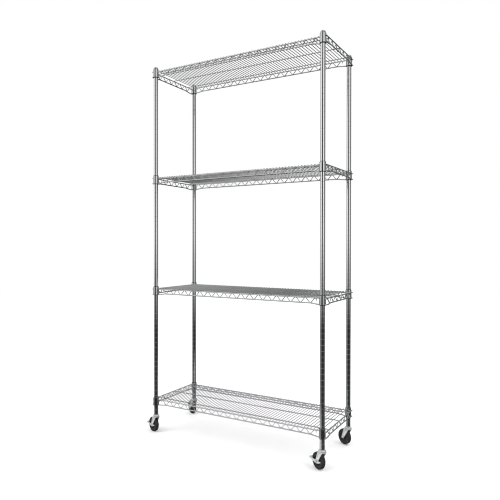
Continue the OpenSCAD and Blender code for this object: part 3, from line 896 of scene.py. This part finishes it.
def drilled(points, centre, hole, y0, y1, radius=1.6, chamfer=0.3):
    """A flat stamping in the XZ plane with rounded corners, broken edges and one round hole."""
    pts = [Vector((x, 0, z)) for x, z in points]
    loop = []
    for i in range(len(pts)):
        loop += rounded([pts[i - 1], pts[i], pts[(i + 1) % len(pts)]], radius, 4)[1:-1]
    k = len(loop)
    spin = sum(loop[i].x * loop[(i + 1) % k].z - loop[(i + 1) % k].x * loop[i].z for i in range(k))
    inner = []
    for i in range(k):
        t = (loop[(i + 1) % k] - loop[i - 1]).normalized()
        inner.append(loop[i] + Vector((-t.z, 0, t.x)) * (chamfer if spin > 0 else -chamfer))
    n = 40
    ring = [Vector((centre[0] + math.cos(2 * math.pi * i / n), 0, centre[1] + math.sin(2 * math.pi * i / n))) for i in range(n)]
    bore = [Vector((centre[0] + hole * (p.x - centre[0]), 0, centre[1] + hole * (p.z - centre[1]))) for p in ring]
    lip = [Vector((centre[0] + (hole + 0.2) * (p.x - centre[0]), 0, centre[1] + (hole + 0.2) * (p.z - centre[1]))) for p in ring]
    verts, faces = [], []
    for y, edge in ((y0, inner), (y0 + chamfer, loop), (y1 - chamfer, loop), (y1, inner)):
        verts += [(p.x, y, p.z) for p in edge]
    for s in range(3):
        for i in range(k):
            j = (i + 1) % k
            faces.append((s * k + i, s * k + j, (s + 1) * k + j, (s + 1) * k + i))
    base = 4 * k
    for y, edge in ((y0, lip), (y0 + 0.2, bore), (y1 - 0.2, bore), (y1, lip)):
        verts += [(p.x, y, p.z) for p in edge]
    for s in range(3):
        for i in range(n):
            j = (i + 1) % n
            faces.append((base + s * n + i, base + s * n + j, base + (s + 1) * n + j, base + (s + 1) * n + i))
    flat = tessellate_polygon([[Vector((p.x, p.z, 0)) for p in inner], [Vector((p.x, p.z, 0)) for p in lip]])
    for outer_start, lip_start in ((0, base), (3 * k, base + 3 * n)):
        for tri in flat:
            faces.append(tuple(outer_start + i if i < k else lip_start + i - k for i in tri))
    return verts, faces


def brake(corner):
    """Foot brake: two stamped side plates on the axle, joined at one end by a bent foot tab with grip ribs."""
    ax, az = TRAIL, AXLE_Z
    tab = ax + WHEEL_R + 3.5
    y0 = LEG_IN + LEG_T + 0.3
    y1 = y0 + 1.5
    outline = [(ax - 29.8, az + 3.9), (ax - 30.8, az + 0.7), (ax - 6.4, az - 9.4), (ax + 5.2, az - 9.4),
               (tab + 2, az - 0.9), (tab + 11.9, az + 1.5), (tab + 11.9, az + 3.9), (tab - 2, az + 5.3), (ax + 11, az + 4.4),
               (ax + 4.5, az + 6.6), (ax - 4.5, az + 6.6), (ax - 11, az + 3.4)]
    m = Mesh()
    for a, b in ((y0 + 0.02, y1 - 0.02), (-y1 + 0.02, -y0 - 0.02)):
        v, f = drilled(outline, (ax, az), 3.06, a, b)
        m.add(v, f)
    under = [(tab + 0.15, az + 1.9), (tab + 11.8, az + 2.05), (tab + 14.3, az + 0.75), (tab + 14.9, az + 0.95)]
    over = [(tab + 15.2, az + 1.8), (tab + 12.8, az + 3.75)]
    for k in range(4):                       # raised grip ribs
        x = tab + 11.4 - 2.9 * k
        over += [(x, az + 3.75), (x - 0.5, az + 3.9), (x - 1.3, az + 3.9), (x - 1.8, az + 3.75)]
    over += [(tab + 0.4, az + 3.75), (tab + 0.15, az + 3.5)]
    section = under + over
    n = len(section)
    mid = (tab + 7.5, az + 2.8)
    rows = [(-y1 + 0.05, 0.35), (-y1 + 0.4, 0.0), (-y0 - 0.9, 0.0), (-y0 + 1.2, 0.0), (0.0, 0.0), (y0 - 1.2, 0.0), (y0 + 0.9, 0.0), (y1 - 0.4, 0.0), (y1 - 0.05, 0.35)]
    verts = []
    for y, tuck in rows:
        verts += [(x + (mid[0] - x) * tuck * 0.04, y, z + (mid[1] - z) * tuck * 0.5) for x, z in section]
    faces = []
    for s in range(len(rows) - 1):
        for i in range(n):
            j = (i + 1) % n
            faces.append((s * n + i, s * n + j, (s + 1) * n + j, (s + 1) * n + i))
    cap = tessellate_polygon([[Vector((x, z, 0)) for x, z in section]])
    last = (len(rows) - 1) * n
    faces += [tuple(t) for t in cap] + [tuple(last + i for i in t) for t in cap]
    m.add(verts, faces)
    ob = m.build(f"brake_pedal_{corner}", [ZINC], 30)
    ob.data.transform(metres(caster_frame(corner)))
    place(ob, f"brake_lever_{corner}", f"brake_{corner}")


for corner in CORNERS:
    post(corner)
caps()
inserts()
for shelf in SHELVES:
    deck(shelf)
    support(shelf)
    rails(shelf)
    truss(shelf)
    collars(shelf)
    sleeves(shelf)
stems()
for corner in CORNERS:
    braked = corner.startswith("front")
    fork(corner)
    bolt_and_nut(corner, braked)
    bushing(corner)
    wheel(corner)
    if braked:
        brake(corner)

balls = frame["nodes"]["caster_balls"]
balls.data.materials.clear()
balls.data.materials.append(STEEL)


# ---- floor, light and camera ----------------------------------------------

floor_mesh = bpy.data.meshes.new("studio_floor")
bm = bmesh.new()
bmesh.ops.create_circle(bm, cap_ends=True, radius=9.0, segments=96)
bm.to_mesh(floor_mesh)
bm.free()
floor = bpy.data.objects.new("studio_floor", floor_mesh)
scene.collection.objects.link(floor)
fm = Mat("floor_paper", rough=0.8, color=(0.93, 0.93, 0.93))
fm.color(fm.ramp(fm.noise(3.0, 3.0), [(0.3, (0.925, 0.925, 0.93)), (0.7, (0.94, 0.94, 0.94))]))
fm.bsdf.inputs["Specular IOR Level"].default_value = 0.0
floor_mesh.materials.append(fm.mat)
floor.location = (0, 0, -0.0004)
floor.visible_glossy = False

world = bpy.data.worlds.new("studio")
scene.world = world
world.use_nodes = True
wt = world.node_tree
wt.nodes.clear()


def wn(kind, **props):
    n = wt.nodes.new(kind)
    for k, v in props.items():
        setattr(n, k, v)
    return n


def dot(vec, const):
    d = wn("ShaderNodeVectorMath", operation="DOT_PRODUCT")
    wt.links.new(vec, d.inputs[0])
    d.inputs[1].default_value = const
    return d.outputs["Value"]


def math_node(op, a, b=None):
    m = wn("ShaderNodeMath", operation=op)
    for i, x in enumerate((a, b)):
        if x is None:
            continue
        if isinstance(x, (int, float)):
            m.inputs[i].default_value = x
        else:
            wt.links.new(x, m.inputs[i])
    return m.outputs[0]


def grey_ramp(fac, stops):
    r = wn("ShaderNodeValToRGB")
    els = r.color_ramp.elements
    els[0].position, els[0].color = stops[0][0], (stops[0][1],) * 3 + (1,)
    els[1].position, els[1].color = stops[-1][0], (stops[-1][1],) * 3 + (1,)
    for pos, v in stops[1:-1]:
        e = els.new(pos)
        e.color = (v, v, v, 1)
    wt.links.new(fac, r.inputs["Fac"])
    return r.outputs["Color"]


def blend(fac, a, b):
    m = wn("ShaderNodeMix", data_type="RGBA")
    wt.links.new(fac, m.inputs["Factor"])
    for x, key in ((a, "A"), (b, "B")):
        if isinstance(x, (int, float)):
            m.inputs[key].default_value = (x, x, x, 1)
        else:
            wt.links.new(x, m.inputs[key])
    return m.outputs["Result"]


CAM_TURN = 30.12
CAM_AIM = 30.065
turn = math.radians(CAM_TURN)
direction = wn("ShaderNodeTexCoord").outputs["Generated"]
right = dot(direction, (math.cos(turn), math.sin(turn), 0))
back = dot(direction, (math.sin(turn), -math.cos(turn), 0))
height = dot(direction, (0, 0, 1))
azimuth = math_node("ARCTAN2", right, back)
around = math_node("MULTIPLY_ADD", azimuth, 1 / (2 * math.pi))
around.node.inputs[2].default_value = 0.5
elevation = math_node("MULTIPLY_ADD", math_node("ARCSINE", height), 1 / math.pi)
elevation.node.inputs[2].default_value = 0.5


def deg(a):
    return (a + 180) / 360


def el(e):
    return (e + 90) / 180


walls = grey_ramp(around, [(0.0, 0.45), (deg(-165), 0.45), (deg(-150), 0.08), (deg(-128), 0.10), (deg(-118), 0.70), (deg(-50), 0.95), (deg(-44), 0.01),
                           (deg(-4), 0.01), (deg(3), 0.95), (deg(40), 0.90), (deg(50), 0.22), (deg(100), 0.20), (deg(112), 0.22), (deg(146), 0.22), (deg(154), 0.45), (1.0, 0.45)])
below = grey_ramp(around, [(0.0, 0.06), (deg(-150), 0.12), (deg(-125), 0.25), (deg(-60), 0.16), (deg(-47), 0.03), (deg(40), 0.025), (deg(60), 0.06), (deg(95), 0.12), (deg(112), 0.08), (1.0, 0.06)])
low_floor = grey_ramp(around, [(0.0, 0.02), (deg(-150), 0.05), (deg(-125), 0.95), (deg(-50), 0.95), (deg(-35), 0.08), (deg(60), 0.04), (deg(100), 0.02), (1.0, 0.02)])
horizon = grey_ramp(elevation, [(el(-9), 0.0), (el(1), 1.0)])
overhead = grey_ramp(elevation, [(el(18), 0.0), (el(45), 1.0)])
near = grey_ramp(elevation, [(el(-26), 1.0), (el(-17), 0.0)])
under = grey_ramp(elevation, [(el(-60), 0.015), (el(-38), 0.03)])
nearer = grey_ramp(elevation, [(el(-50), 1.0), (el(-30), 0.0)])
upper = blend(overhead, walls, 0.60)
lower = blend(nearer, blend(near, below, low_floor), under)
studio = blend(horizon, lower, upper)
rays = wn("ShaderNodeLightPath")
lit = blend(rays.outputs["Is Glossy Ray"], 1.2, studio)
seen = blend(rays.outputs["Is Camera Ray"], lit, 1.0)
bg = wn("ShaderNodeBackground")
wt.links.new(seen, bg.inputs["Color"])
bg.inputs["Strength"].default_value = 1.0
wt.links.new(bg.outputs[0], wn("ShaderNodeOutputWorld").inputs["Surface"])


def area(name, loc, target, size, power):
    d = bpy.data.lights.new(name, "AREA")
    d.shape, d.size, d.size_y, d.energy = "RECTANGLE", size[0], size[1], power
    ob = bpy.data.objects.new(name, d)
    scene.collection.objects.link(ob)
    ob.location = loc
    ob.rotation_euler = (Vector(target) - Vector(loc)).to_track_quat("-Z", "Y").to_euler()
    ob.visible_camera = False
    ob.visible_glossy = False
    return ob


area("key_softbox", (-2.6, -3.2, 3.6), (0, 0, 0.9), (2.4, 2.4), 60)
area("fill_softbox", (3.4, -0.6, 2.6), (0, 0, 0.8), (2.0, 2.0), 30)

cam_data = bpy.data.cameras.new("camera")
cam_data.lens, cam_data.sensor_width = 37.23, 36.0
cam = bpy.data.objects.new("camera", cam_data)
scene.collection.objects.link(cam)
cam.location = (1.3273, -2.2836, 0.990)
cam.rotation_euler = (math.radians(90 - 0.54), math.radians(-0.05), math.radians(CAM_AIM))
scene.camera = cam
scene.view_settings.view_transform = "Standard"
scene.view_settings.look = "None"
scene.cycles.filter_width = 1.1
